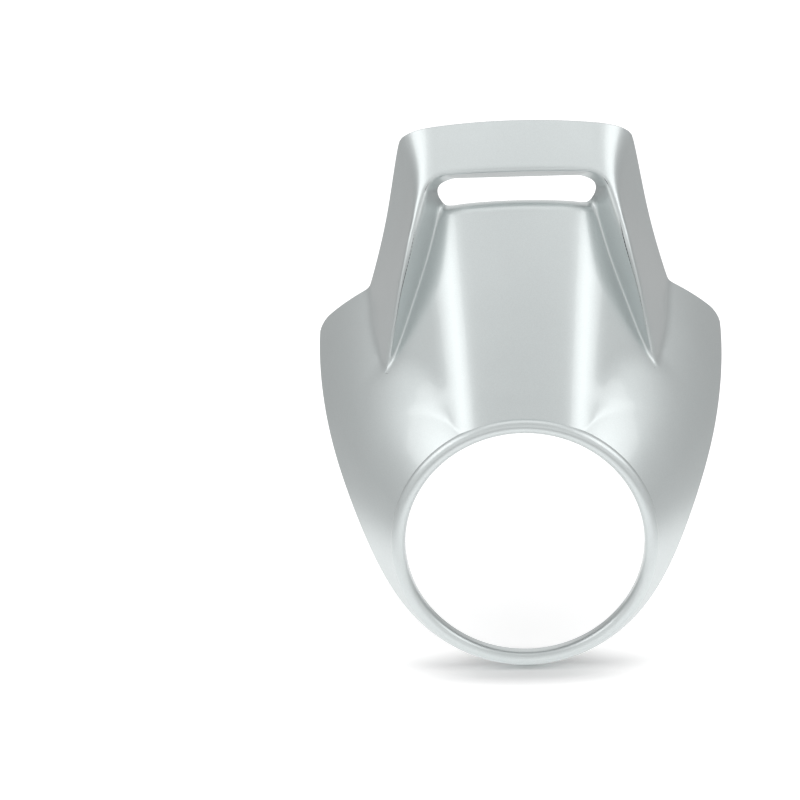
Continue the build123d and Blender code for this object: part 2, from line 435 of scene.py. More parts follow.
def rounded_line(points, corners, step=0.5):
    """A dense line through points, with the numbered corners rounded."""
    points = np.array(points, float)
    dense = [points[0]]
    for i, here in enumerate(points[1:], 1):
        if i not in corners:
            dense.append(here)
            continue
        ahead, back = unit(points[i + 1] - here), unit(dense[-1] - here)
        half_angle = np.arccos(np.clip(ahead @ back, -1, 1)) / 2
        run = corners[i] / tan(half_angle)
        middle = here + unit(ahead + back) * corners[i] / sin(half_angle)
        start, end = here + back * run - middle, here + ahead * run - middle
        sweep = pi - 2 * half_angle
        for t in np.linspace(0, 1, 13):
            mix = (np.sin((1 - t) * sweep) * start + np.sin(t * sweep) * end) / sin(sweep)
            dense.append(middle + mix)
    dense = np.array(dense)
    return resample(dense, np.linspace(0, 1, int(travelled(dense)[-1] / step)))


# The outer skin as three sheets of quads, which share their edges and their pole


def rear_line():
    """The rear edge in the side view, from the collar to the top edge, as a dense line."""
    points = np.array(REAR_LINE)
    runs = travelled(points)
    ways = [np.array(way) / hypot(*way) for way in REAR_WAYS]
    dense = through(runs, points, ways)(np.linspace(0, runs[-1], 60))
    past = np.array(ARCH_CORNER) + 60 * np.array((-cos(LEAN), sin(LEAN)))
    first = len(dense) - 1
    corners = {first: 10.0, first + 1: 4.0, first + 2: 9.0}
    line = rounded_line([*dense, WING_NOTCH, ARCH_CORNER, past], corners)
    way = unit(np.gradient(line, axis=0))
    return line + RIM * np.stack([-way[:, 1], way[:, 0]], -1)


def guides():
    """The lines on the outer skin that its sheets share, each as a dense set of points."""
    rear = rear_line()

    # Soft valley from the lip to the pole, where the flank meets the nacelle
    along = np.linspace(-9.0, POLE_ALONG, 120)
    half, level = crest(along)
    x = bisect(lambda x: shape.nacelle(place(x, along, half + level - x)), half - 8, half + 75)
    soft = place(x, along, half + level - x)
    pole = soft[-1]

    def from_pole(line, along):
        return line + (pole - line[0]) * (1 - ease(along, POLE_ALONG, POLE_ALONG + 20))[:, None]

    # Crisp valley from the pole to the corner of the slot, where the flank meets the pillar
    along = np.linspace(POLE_ALONG, 174.0, 120)
    half, level = crest(along)
    foot, foot_level, top, top_level = recess_at(along).T
    lean = (top - foot) / (top_level - foot_level)
    x = (foot + lean * (half + level - foot_level)) / (1 + lean)
    crisp = from_pole(place(x, along, half + level - x), along)
    crisp = np.concatenate([crisp, place(*np.array(SLOT_CORNER).T)])

    # Edge of the slot, up the side, round the corner and along the foot of the band
    runs = travelled(np.array(SLOT_EDGE))
    edge = place(*through(runs, SLOT_EDGE)(np.linspace(0, runs[-1], 200)).T)

    # Ridge of the pillar and the lower front edge of the band
    along = np.linspace(POLE_ALONG, 182.0, 100)
    top, top_level = recess_at(along).T[2:]
    ridge = from_pole(place(top, along, top_level), along)
    x = np.array((45.0, 30.0, 15.0, 0.0))
    level = BAND_REVEAL - x**2 / BAND_BOW
    front = place(x, BAND_START - level * tan(RECESS_TILT), level)
    ridge = np.concatenate([ridge, place(*np.array(BAND_EDGE).T), front])
    runs = travelled(ridge)
    keep = np.r_[0:99:9, 99 : len(ridge)]
    ridge = through(runs[keep], ridge[keep])(np.linspace(0, runs[-1], 400))

    # Outer valley from the pole to the notch, where the pillar meets the nacelle
    along = np.linspace(POLE_ALONG, 190.0, 200)
    half, level, splay, _ = arch_at(along).T
    spread = np.tan(np.radians(splay))
    height = bisect(
        lambda n: shape.nacelle(place(half + (level - n) * spread, along, n)),
        np.full(len(along), -160.0),
        level,
    )
    outer = from_pole(place(half + (level - height) * spread, along, height), along)
    high = rear[rear[:, 1] > REAR_LINE[-1][1]]
    high = high[np.argsort(high[:, 1])]
    short = np.interp(outer[:, 2], high[:, 1], high[:, 0]) - outer[:, 1]
    stop = np.argmax(short < 0)
    share = short[stop - 1] / (short[stop - 1] - short[stop])
    notch = outer[stop - 1] + share * (outer[stop] - outer[stop - 1])
    outer = np.concatenate([outer[:stop], [notch]])
    turn = nearest(rear, notch[1:])

    # Rear edge of the arch from the notch to its top edge, and the top edge to the middle
    top_along = rear[-1] @ ALONG[1:] - shape.lip_outer * ALONG[2]
    upper = rear[turn + 1 :]
    upper = upper[(upper - np.array((0.0, shape.lip_outer))) @ OUT[1:] < 0.0]
    x = np.interp(upper[:, 1], *ARCH_GUESS)
    upper = settle(np.column_stack([x, upper]), ACROSS_ONLY)
    x, _, height = on_slope(upper[-1])
    start = np.arctan2(height - CROWN_LEVEL, x)
    angle = np.linspace(start, pi / 2, 160)[1:]
    reach = np.interp(angle, [start, pi / 2], [np.hypot(x, height - CROWN_LEVEL), CROWN_REACH])
    ways = place(np.cos(angle), 0.0, np.sin(angle)) - place(0.0, 0.0, 0.0)
    crown = place(0.0, top_along, CROWN_LEVEL) + reach[:, None] * ways
    crown = settle(crown, only(ways))

    # Rear edge of the wing and of the collar, from the notch down to the middle
    lower = rear[:turn][::-1]
    x = np.interp(lower[:, 1], *WING_GUESS)
    lower = settle(np.column_stack([x, lower]), ACROSS_ONLY, rounds=20)
    x, y, z = lower[-1]
    angle = np.linspace(np.arctan2(z, x), -pi / 2, 60)[1:]
    collar = settle(around(angle, np.hypot(x, z), y), only(around(angle, 1.0, 0.0)))

    arch_rear, wing_rear = [notch, *upper, *crown], [notch, *lower, *collar]
    return pole, soft, crisp, edge, ridge, outer, np.array(arch_rear), np.array(wing_rear)


def lip_joint(angles):
    """Where the skin leaves the rolled lip, at each angle round the lamp's axis."""
    free = np.eye(3) - only(around(angles + pi / 2, 1.0, 0.0))
    start = around(angles, shape.lip_outer, 0.0)
    return settle(start, free, [shape.whole, shape.lip], rounds=24, longest=1.5)


def fill_in(left, right, low, high):
    """Fills in values from those on four sides: left and right go up, low and high across."""
    u, v = np.linspace(0, 1, len(low)), np.linspace(0, 1, len(left))[:, None]
    sides = (1 - u) * left[:, None] + u * right[:, None] + (1 - v) * low + v * high
    corners = (1 - u) * (1 - v) * low[0] + u * (1 - v) * low[-1]
    return sides - corners - (1 - u) * v * high[0] - u * v * high[-1]


def polar(points):
    """The angle round the lamp's axis, the depth and the distance out of each point."""
    angle = np.arctan2(points[..., 2], points[..., 0])
    angle = np.where(angle > pi / 2 + 0.01, angle - 2 * pi, angle)
    return np.stack([angle, points[..., 1], np.hypot(points[..., 0], points[..., 2])], -1)


def skin():
    """The right half of the outer skin as three sheets of points: floor, arch and bowl."""
    pole, soft, crisp, edge, ridge, outer, arch_rear, wing_rear = guides()
    pole = settle(pole[None])[0]

    # Sides that the sheets share
    leave = np.argmax(np.hypot(soft[:, 0], soft[:, 2]) > shape.lip_outer)
    joint_angle = np.arctan2(soft[leave, 2], soft[leave, 0])
    floor_shares, bowl_shares = eased(FLOOR_ACROSS, 0, 0.8), eased(BOWL_ROUND, 0.6, 0)
    floor_low = lip_joint(pi / 2 + (joint_angle - pi / 2) * floor_shares)
    bowl_low = lip_joint(joint_angle + (-pi / 2 - joint_angle) * bowl_shares)
    soft = np.concatenate([floor_low[-1:], soft[leave + 2 :]])
    soft = settle(resample(soft, eased(RING_CELLS, 0.5, 0)))
    soft[0], soft[-1] = floor_low[-1], pole
    crisp = settle(landmarks(crisp, [-1 - len(SLOT_CORNER)], [VALLEY_CELLS], SLOT_CELLS))
    crisp[0] = pole
    turn = np.argmin(np.abs(edge[:, 0] - 54.0) + 1e3 * (on_slope(edge)[1] < 199))
    edge = settle(landmarks(edge, [turn], [SIDE_CELLS], SIDE_CELLS + BAND_CELLS))
    foot = np.concatenate([crisp, edge[1:]])
    outer = settle(resample(outer, np.linspace(0, 1, OUTER_VALLEY_CELLS + 1)))
    outer[0] = pole
    along_count = len(foot) - 1

    # Floor: the panel, its crests and its flanks, from the lip to the slot
    right = np.concatenate([soft, crisp[1:]])
    rows = len(right)
    x_right, along_right, _ = on_slope(right)
    path_right = np.minimum(along_right, HOOD_LENGTH - 2.0)
    x_low, along_low, _ = on_slope(floor_low)
    roll_start, roll_run = HOOD_LENGTH - HOOD_ROLL, HOOD_ROLL * pi / 2
    path_top = roll_start + roll_run + 5.0
    counts = [0, RING_CELLS, RING_CELLS + VALLEY_CELLS, rows - 1]
    path_left = np.interp(np.arange(rows), counts, [along_low[0], 54.0, roll_start - 1, path_top])
    path_left = np.convolve(np.pad(path_left, 3, "reflect", reflect_type="odd"), np.ones(7) / 7, "valid")
    path_high = path_top + (path_right[-1] - path_top) * ease(floor_shares, 0.7, 1.0)
    path = fill_in(path_left, path_right, along_low, path_high)
    x = x_low[0] + floor_shares * x_right[:, None]
    along = np.minimum(path, roll_start)
    half, level = crest(along)
    height = np.minimum(-(x**2) / (2 * PANEL_CROWN), half + level - x)
    bend = np.clip((path - roll_start) / HOOD_ROLL, 0, pi / 2)
    along = along + HOOD_ROLL * np.sin(bend)
    height = height - HOOD_ROLL * (1 - np.cos(bend)) - np.maximum(path - roll_start - roll_run, 0)
    floor = place(x, along, height)
    floor += (right - floor[:, -1])[:, None] * (floor_shares**6)[:, None]
    floor += (floor_low - floor[0]) * ((1 - np.linspace(0, 1, rows)) ** 8)[:, None, None]
    floor = settle(floor)
    floor[0], floor[:, -1] = floor_low, right
    floor[:, 0, 0] = 0.0

    # Arch: the inner wall and outer face of the pillar, and the band
    corner = nearest(arch_rear[:, 1:], np.array(ARCH_CORNER))
    first = SLOT_CELLS + SIDE_CELLS - OUTER_VALLEY_CELLS
    arch_rear = landmarks(arch_rear, [corner + 14], [first], along_count - OUTER_VALLEY_CELLS)
    far = np.concatenate([outer, arch_rear[1:]])
    along = on_slope(ridge)[1]
    marks = [np.argmin(np.abs(along - spot)) for spot in (154.0, 186.0)]
    marks.append(np.argmin(np.abs(ridge[:, 0] - 57.0)))
    ridge = landmarks(ridge, marks, [OUTER_VALLEY_CELLS, SLOT_CELLS, SLOT_CELLS + SIDE_CELLS], along_count)
    wall = foot[:, None] + (ridge - foot)[:, None] * eased(WALL_ACROSS, 0.9, 0.9)[:, None]
    face = ridge[:, None] + (far - ridge)[:, None] * eased(FACE_ACROSS, 0.9, 0.9)[:, None]
    arch = settle(np.concatenate([wall, face[:, 1:]], 1))
    arch[:, 0], arch[:, -1], arch[0] = foot, far, pole
    arch[-1, :, 0] = 0.0

    # Bowl: the nacelle with its wing and collar
    left = np.concatenate([soft, outer[1:]])
    angle = np.unwrap(np.arctan2(wing_rear[:, 2], wing_rear[:, 0]))
    target = angle[0] + (angle[-1] - angle[0]) * bowl_shares
    high = np.stack([np.interp(-target, -angle, values) for values in wing_rear.T], -1)
    high[0] = left[-1]
    steps = np.linspace(0, 1, len(left))[:, None]
    right = bowl_low[-1] + (high[-1] - bowl_low[-1]) * steps
    runs = travelled(left)
    columns = np.linspace(0, 1, len(bowl_low))[:, None]
    shares = (runs / runs[-1])[:, None, None] * (1 - columns) + steps[:, None] * columns
    low_p, high_p = polar(bowl_low), polar(high)
    sheet = low_p + (high_p - low_p) * shares
    sheet = sheet + (polar(left) - sheet[:, 0])[:, None] * (1 - columns) ** 6
    sheet = sheet + (polar(right) - sheet[:, -1])[:, None] * columns**6
    bowl = settle(around(sheet[..., 0], sheet[..., 2], sheet[..., 1]))
    bowl[0], bowl[-1], bowl[:, 0] = bowl_low, high, left
    bowl[:, -1, 0] = 0.0
    return floor, arch, bowl


def grid_normals(sheet):
    """The unit normals of a sheet of points, from its own rows and columns."""
    if np.allclose(sheet[:, 0], sheet[:, -1]):
        looped = np.concatenate([sheet[:, -2:-1], sheet, sheet[:, 1:2]], 1)
        across = (looped[:, 2:] - looped[:, :-2]) / 2
    else:
        across = np.gradient(sheet, axis=1)
    normals = np.cross(across, np.gradient(sheet, axis=0))
    length = np.linalg.norm(normals, axis=-1, keepdims=True)
    return np.where(length > 1e-7, normals / np.maximum(length, 1e-7), 0.0)


class Sheets:
    """Collects sheets of points and their quads, mirrors them and makes a mesh of them."""

    def __init__(self):
        self.parts, self.count = [], 0

    def add(self, sheet, turned=False, paint=0, normals=None):
        rows, columns = sheet.shape[:2]
        if normals is None:
            normals = grid_normals(sheet) * (-1 if turned else 1)
        index = self.count + np.arange(rows * columns).reshape(rows, columns)
        corners = index[:-1, :-1], index[:-1, 1:], index[1:, 1:], index[1:, :-1]
        order = (0, 3, 2, 1) if turned else (0, 1, 2, 3)
        faces = np.stack([corners[i].ravel() for i in order], -1)
        paints = np.full(len(faces), paint)
        self.parts.append((sheet.reshape(-1, 3), normals.reshape(-1, 3), faces, paints))
        self.count += rows * columns

    def mesh(self, name, mirror=True):
        points, normals, faces, paints = map(np.concatenate, zip(*self.parts))
        if mirror:
            faces = np.concatenate([faces, faces[:, ::-1] + len(points)])
            points, normals = (np.concatenate([a, a * (-1, 1, 1)]) for a in (points, normals))
            paints = np.tile(paints, 2)
        # Points closer than half a micron become one vertex, and quads without area go
        keys = np.round(points / 0.0005).astype(np.int64)
        _, first, same = np.unique(keys, axis=0, return_index=True, return_inverse=True)
        corners = normals[faces]
        faces, points = same.reshape(-1)[faces], points[first]
        rows, row_paints, row_normals = [], [], []
        for face, paint, ways in zip(faces.tolist(), paints.tolist(), corners.tolist()):
            kept = [i for i, v in enumerate(face) if v != face[i - 1]]
            if len({face[i] for i in kept}) == len(kept) > 2:
                rows.append([face[i] for i in kept])
                row_normals.extend(ways[i] for i in kept)
                row_paints.append(paint)
        mesh = bpy.data.meshes.new(name)
        mesh.from_pydata((points * MM).tolist(), [], rows)
        mesh.polygons.foreach_set("material_index", row_paints)
        mesh.polygons.foreach_set("use_smooth", [True] * len(rows))
        mesh.update()
        mesh.normals_split_custom_set(row_normals)
        return mesh


def away_from(line, inwards):
    """The ways in which a free edge looks, along the skin and away from points further in."""
    away = np.cross(normals_at(line), unit(np.gradient(line, axis=0)))
    away *= np.sign(np.sum(away * (line - inwards), axis=1, keepdims=True))
    away[np.abs(line[:, 0]) < 1e-6, 0] = 0.0
    return unit(away)


def cut_ways(line):
    """The ways in which the rear edge looks: straight out of the cut in the side view."""
    rear = rear_line()
    way = unit(np.gradient(rear, axis=0))[[nearest(rear, point) for point in line[:, 1:]]]
    return np.column_stack([np.zeros(len(line)), way[:, 1], -way[:, 0]])


def rim_of(line, inner_line, away, count=6):
    """The rounded rim between the outer and the inner skin, along a free edge."""
    angle = np.linspace(0, pi, count + 1)[:, None, None]
    middle, half = (line + inner_line) / 2, (line - inner_line) / 2
    return middle + np.cos(angle) * half + np.sin(angle) ** 0.8 * RIM * away


def inside(points):
    """The points of the inner skin behind those of the outer one."""
    guess = points - normals_at(points) * shape.wall * 0.8
    made = settle(guess, fields=[shape.inner], rounds=10, longest=2.0)
    made[np.abs(points[..., 0]) < 1e-9, 0] = 0.0
    return made


def lip_rows(joint, joint_inner):
    """The rolled lip, from the skin round the front to the bore and back inside."""
    angle = np.arctan2(joint[:, 2], joint[:, 0])
    across = np.hypot(joint[:, 0], joint[:, 2]) - LIP_MIDDLE
    start = np.where(joint[:, 1] > 0, 0.0, np.arctan2(-joint[:, 1], across))
    roll, hollow = shape.lip_roll, shape.lip_roll - shape.wall
    end, small = LIP_DEPTH - LIP_END_ROUND, LIP_END_ROUND
    turns, bends = np.linspace(start, pi, 22), np.linspace(0, pi / 2, 5)
    spots = [(-roll * np.sin(turn), roll * np.cos(turn)) for turn in turns]
    spots += [(end + small * sin(turn), -roll + small * (1 - cos(turn))) for turn in bends]
    spots += [(end + small * cos(turn), -hollow - small * (1 - sin(turn))) for turn in bends]
    turns = np.linspace(pi, start, 14)
    spots += [(-hollow * np.sin(turn), hollow * np.cos(turn)) for turn in turns]
    rows = [around(angle, LIP_MIDDLE + out, depth) for depth, out in spots]
    lip = np.array([joint, *rows, joint_inner])
    lip[np.abs(lip[..., 0]) < 1e-6, 0] = 0.0
    return lip


def upright(seat, straight, radius, top):
    """A closed boss or rib from its seat forwards to the inner skin, with a round at its foot.

    Its outline is a circle, or two half circles with a straight run between them. The rows of its
    top are the distance outside that outline and the depth below the seat.
    """
    way = around(np.linspace(0, 2 * pi, TURNED_POINTS), 1.0, 0.0)
    middle = np.array(seat) + np.sign(np.round(way[:, :1], 6)) * np.array((straight, 0.0, 0.0))
    back = np.array((0.0, 1.0, 0.0))

    def on_skin(out, lift):
        flat = middle + (radius + out) * way
        ends = np.full(TURNED_POINTS, -40.0), np.full(TURNED_POINTS, 60.0)
        depth = bisect(lambda depth: shape.inner(flat - depth[:, None] * back), *ends)
        return flat - (depth - lift)[:, None] * back

    rows = []
    for out, depth in top:
        row = middle + (radius + out) * way - depth * back
        row[:, 1] = np.maximum(row[:, 1], on_skin(out, -FOOT_SUNK)[:, 1])
        rows.append(row)
    for turn in np.linspace(pi / 2, 0, 7):
        rows.append(on_skin(FOOT_ROUND * (1 - sin(turn)), FOOT_ROUND * (1 - cos(turn))))
    return np.array([*rows, on_skin(FOOT_ROUND, -FOOT_SUNK), on_skin(-radius, -FOOT_SUNK)])


def build_shell_mesh():
    """The whole shell: outer and inner skin, rims, rolled lip, bosses and ribs."""
    outer = dict(zip(("floor", "arch", "bowl"), skin()))
    floor, arch, bowl = outer.values()
    inner = {name: inside(sheet) for name, sheet in outer.items()}
    for name, spots in (("bowl", np.s_[-1, :]), ("arch", np.s_[OUTER_VALLEY_CELLS:, -1])):
        edge = outer[name][spots]
        free = np.eye(3) - only(cut_ways(edge))
        step = np.einsum("nij,nj->ni", free, normals_at(edge))
        step *= shape.wall / np.maximum(np.sum(step**2, axis=1, keepdims=True), 0.15)
        made = settle(edge - step, free, [shape.inner], rounds=16, longest=2.0)
        made[np.abs(edge[:, 0]) < 1e-9, 0] = 0.0
        inner[name][spots] = made
    floor_in, arch_in, bowl_in = inner.values()
    arch_in[0] = arch_in[0, 0]
    arch_in[: SLOT_CELLS + 1, 0] = floor_in[RING_CELLS:, -1]
    bowl_in[: RING_CELLS + 1, 0] = floor_in[: RING_CELLS + 1, -1]
    bowl_in[RING_CELLS:, 0] = arch_in[: OUTER_VALLEY_CELLS + 1, -1]
    sheets = Sheets()
    for name in outer:
        sheets.add(outer[name], False, 0, normals_at(outer[name]))
        sheets.add(inner[name], True, 1, -normals_at(inner[name]))

    # Free edges: the rear edge with the top edge, and the slot
    up, last = OUTER_VALLEY_CELLS + 1, SLOT_CELLS + 1
    rear, rear_in = (
        np.concatenate([low[-1, ::-1], high[up:, -1]]) for low, high in ((bowl, arch), (bowl_in, arch_in))
    )
    sheets.add(rim_of(rear, rear_in, cut_ways(rear)), True)
    slot, slot_in = (
        np.concatenate([low[-1], high[last:, 0]]) for low, high in ((floor, arch), (floor_in, arch_in))
    )
    slot_back = np.concatenate([floor[-4], arch[last:, 5]])
    sheets.add(rim_of(slot, slot_in, away_from(slot, slot_back)))
    joint, joint_in = (
        np.concatenate([low[0], high[0, 1:]]) for low, high in ((floor, bowl), (floor_in, bowl_in))
    )
    sheets.add(lip_rows(joint, joint_in), True)

    # Bosses for the threaded inserts, each with a rib to either side
    thick = RIB_THICK / 2
    for x, y, z in BOSS_SEATS:
        sheets.add(upright((x, y, z), 0.0, BOSS_RADIUS, BOSS_TOP), False, 1)
        sheets.add(upright((x, y - RIB_SET_BACK, z), RIB_HALF - thick, thick, RIB_TOP), False, 1)
    return sheets.mesh("cowl_skin")


def build_insert_mesh():
    """The turned body of one threaded insert, on the Z axis, with its flange above the seat."""
    out, up = np.array(INSERT_SECTION).T[:, :, None]
    sheets = Sheets()
    sheets.add(around(np.linspace(0, 2 * pi, TURNED_POINTS), out, up)[..., [0, 2, 1]], True)
    return sheets.mesh("insert_body", mirror=False)


def insert_nodes(material):
    """Adds a knurl and a thread to one turned body, and sets it into each of the four bosses."""
    tree = bpy.data.node_groups.new("threaded_inserts", "GeometryNodeTree")
    add = partial(add_node, tree)
    for name, kind, value in (
        ("Body", "Geometry", None),
        ("Hood seat", "Vector", None),
        ("Side seat", "Vector", None),
        ("Thread pitch", "Float", 0.001),
        ("Thread radius", "Float", 0.003),
        ("Knurl teeth", "Int", 36),
        ("Knurl radius", "Float", 0.00405),
    ):
        made = tree.interface.new_socket(name, in_out="INPUT", socket_type="NodeSocket" + kind)
        if value is not None:
            made.default_value = value
    tree.interface.new_socket("Inserts", in_out="OUTPUT", socket_type="NodeSocketGeometry")
    given = add("NodeGroupInput").outputs

    # One tooth of the knurl, turned round the body in two bands
    tooth = add("GeometryNodeMeshCube", {"Size": (0.00036, 0.00036, 0.0028)})
    tooth = add("GeometryNodeTransform", {"Rotation": (0, 0, pi / 4), "Geometry": tooth})
    count, radius = given["Knurl teeth"], given["Knurl radius"]
    circle = add("GeometryNodeMeshCircle", {"Vertices": count, "Radius": radius})
    spot = add("GeometryNodeInputPosition")
    turn = add("FunctionNodeAlignRotationToVector", {"axis": "X", "Vector": spot})
    teeth = add("GeometryNodeInstanceOnPoints", {"Points": circle, "Instance": tooth, "Rotation": turn})
    lower = ({"Translation": (0, 0, depth), "Geometry": teeth} for depth in (-0.003, -0.007))
    bands = [add("GeometryNodeTransform", values).outputs[0] for values in lower]

    # The thread: a three-sided ridge that winds up the bore
    turns = add("ShaderNodeMath", {"operation": "DIVIDE", 0: THREAD_RUN, 1: given["Thread pitch"]})
    wound = {"Resolution": 28, "Height": THREAD_RUN, "Rotations": turns}
    wound.update({"Start Radius": given["Thread radius"], "End Radius": given["Thread radius"]})
    wound = add("GeometryNodeCurveSpiral", wound)
    ridge = add("GeometryNodeCurvePrimitiveCircle", {"Resolution": 3, "Radius": 0.00045})
    ridge = {"Fill Caps": True, "Curve": wound, "Profile Curve": ridge}
    thread = {"Translation": (0, 0, -0.0091), "Geometry": add("GeometryNodeCurveToMesh", ridge)}
    thread = add("GeometryNodeTransform", thread).outputs[0]

    # The four seats: the hood's and the side's, each on both sides of the middle
    index = add("GeometryNodeInputIndex")
    second = add("FunctionNodeCompare", {"operation": "GREATER_THAN", "A": index, "B": 1.5})
    seat = {"input_type": "VECTOR", "False": given["Hood seat"], "True": given["Side seat"]}
    seat = add("GeometryNodeSwitch", {**seat, "Switch": second})
    odd = add("ShaderNodeMath", {"operation": "MODULO", 0: index, 1: 2.0})
    sign = add("ShaderNodeMath", {"operation": "MULTIPLY_ADD", 0: odd, 1: 2.0, 2: -1.0})
    sign = add("ShaderNodeCombineXYZ", {"X": sign, "Y": 1.0, "Z": 1.0})
    seat = add("ShaderNodeVectorMath", {"operation": "MULTIPLY", 0: seat, 1: sign})
    points = add("GeometryNodePoints", {"Count": 4, "Position": seat})

    whole = add("GeometryNodeJoinGeometry")
    for source in (given["Body"], *bands, thread):
        tree.links.new(source, whole.inputs[0])
    whole = add("GeometryNodeTransform", {"Rotation": (-pi / 2, 0, 0), "Geometry": whole})
    whole = add("GeometryNodeGeometryToInstance", {0: whole})
    placed = add("GeometryNodeInstanceOnPoints", {"Points": points, "Instance": whole})
    placed = add("GeometryNodeRealizeInstances", {"Geometry": placed})
    placed = add("GeometryNodeSetMaterial", {"Material": material, "Geometry": placed})
    add("NodeGroupOutput", {"Inserts": placed})
    return tree


# Materials


def principled(name, values):
    """A new material, what adds nodes to it, its shader with some values, and its coordinates."""
    made = bpy.data.materials.new(name)
    made.use_nodes = True
    made.node_tree.nodes.clear()
    add = partial(add_node, made.node_tree)
    shader = add("ShaderNodeBsdfPrincipled", values)
    add("ShaderNodeOutputMaterial", {"Surface": shader})
    return made, add, shader, add("ShaderNodeTexCoord").outputs["Object"]


def dress(made, shader, colour, light, sources):
    """Links a colour that is scaled by a level into a material's shader, and the other sources."""
    tree = made.node_tree
    tint = add_node(tree, "ShaderNodeVectorMath", {"operation": "SCALE", 0: colour[:3], "Scale": light})
    for name, source in {"Base Color": tint, **sources}.items():
        tree.links.new(source.outputs[0], shader.inputs[name])
    return made


def silver_lacquer(colour):
    """Silver base coat with aluminium flake, sprayed, under a clear coat that has flowed out."""
    values = {"Metallic": 0.85, "Coat Weight": 0.7, "Coat Roughness": 0.04}
    made, add, shader, where = principled("silver_metallic_lacquer", values)

    # Flakes of 0.04 mm, drawn ten times as coarse so that their fine sparkle shows up close
    flakes = add("ShaderNodeTexVoronoi", {"Scale": 1 / 0.0004, "Vector": where}).outputs["Color"]
    sparkle = add("ShaderNodeSeparateColor", {"Color": flakes}).outputs
    light = add("ShaderNodeMapRange", span(sparkle["Red"], 0.0, 1.0, 0.965, 1.035))
    rough = add("ShaderNodeMapRange", span(sparkle["Green"], 0.0, 1.0, 0.34, 0.40))
    # Clouding left by the passes of the spray gun, 60 mm apart
    cloud = add("ShaderNodeTexNoise", {"Scale": 1 / 0.06, "Detail": 2.0, "Vector": where})
    drift = add("ShaderNodeMapRange", span(cloud, 0.3, 0.7, 0.985, 1.015))
    light = add("ShaderNodeMath", {"operation": "MULTIPLY", 0: light, 1: drift})

    # Orange peel: waves 3 mm long and a micron or two high, which make sharp reflections waver
    peel = add("ShaderNodeTexNoise", {"Scale": 1 / 0.003, "Detail": 1.0, "Vector": where})
    coat = add("ShaderNodeBump", {"Strength": 1.0, "Distance": 0.000006, "Height": peel})
    lie = {"Strength": 0.35, "Distance": 0.000012, "Height": sparkle["Blue"], "Normal": coat}
    sources = {"Roughness": rough, "Coat Normal": coat, "Normal": add("ShaderNodeBump", lie)}
    return dress(made, shader, colour, light, sources)


def moulded_back(colour):
    """Bare injection-moulded ABS inside: matt and even, with the fine grain of a spark-eroded tool."""
    made, add, shader, where = principled("moulded_abs_back", {})
    # Tool grain of 0.25 mm, drawn at 0.7 mm so that it shows, and flow marks some 40 mm apart
    grain = add("ShaderNodeTexNoise", {"Scale": 1 / 0.0007, "Detail": 3.0, "Vector": where})
    flow = {"Scale": 1 / 0.04, "Detail": 3.0, "Distortion": 0.6, "Vector": where}
    flow = add("ShaderNodeTexNoise", flow)
    light = add("ShaderNodeMapRange", span(flow, 0.3, 0.7, 0.94, 1.06))
    rough = add("ShaderNodeMapRange", span(grain, 0.3, 0.7, 0.52, 0.68))
    dent = add("ShaderNodeBump", {"Strength": 0.6, "Distance": 0.00012, "Height": grain})
    return dress(made, shader, colour, light, {"Roughness": rough, "Normal": dent})


def turned_brass(colour):
    """Free-cutting brass from the lathe: bright, with rings from the tool round each insert's axis."""
    made, add, shader, where = principled("turned_brass", {"Metallic": 1.0})
    axes = add("ShaderNodeSeparateXYZ", {"Vector": where}).outputs
    side = add("ShaderNodeMath", {"operation": "ABSOLUTE", 0: axes["X"]})
    spot = add("ShaderNodeCombineXYZ", {"X": side, "Z": axes["Z"]})
    ends = ({"operation": "DISTANCE", 0: spot, 1: (x * MM, 0, z * MM)} for x, _, z in BOSS_SEATS)
    away = [add("ShaderNodeVectorMath", values).outputs["Value"] for values in ends]
    out = add("ShaderNodeMath", {"operation": "MINIMUM", 0: away[0], 1: away[1]})
    # Feed of 0.1 mm a turn, drawn at 0.25 mm so that the rings show
    phase = add("ShaderNodeMath", {"operation": "MULTIPLY", 0: out, 1: 2 * pi / 0.00025})
    rings = add("ShaderNodeMath", {"operation": "SINE", 0: phase})
    groove = add("ShaderNodeBump", {"Strength": 0.5, "Distance": 0.00001, "Height": rings})
    # Faint tarnish in patches of 2 mm
    stain = add("ShaderNodeTexNoise", {"Scale": 1 / 0.002, "Detail": 2.0, "Vector": where})
    light = add("ShaderNodeMapRange", span(stain, 0.3, 0.7, 0.88, 1.0))
    rough = add("ShaderNodeMapRange", span(stain, 0.3, 0.7, 0.34, 0.24))
    return dress(made, shader, colour, light, {"Roughness": rough, "Normal": groove})


def background_seen(add):
    """1 for the rays that show the background: the camera's, and those off gloss and through glass."""
    path = add("ShaderNodeLightPath").outputs
    rays = path["Is Camera Ray"]
    for name in ("Is Glossy Ray", "Is Transmission Ray"):
        rays = add("ShaderNodeMath", {"operation": "MAXIMUM", 0: rays, 1: path[name]})
    return rays


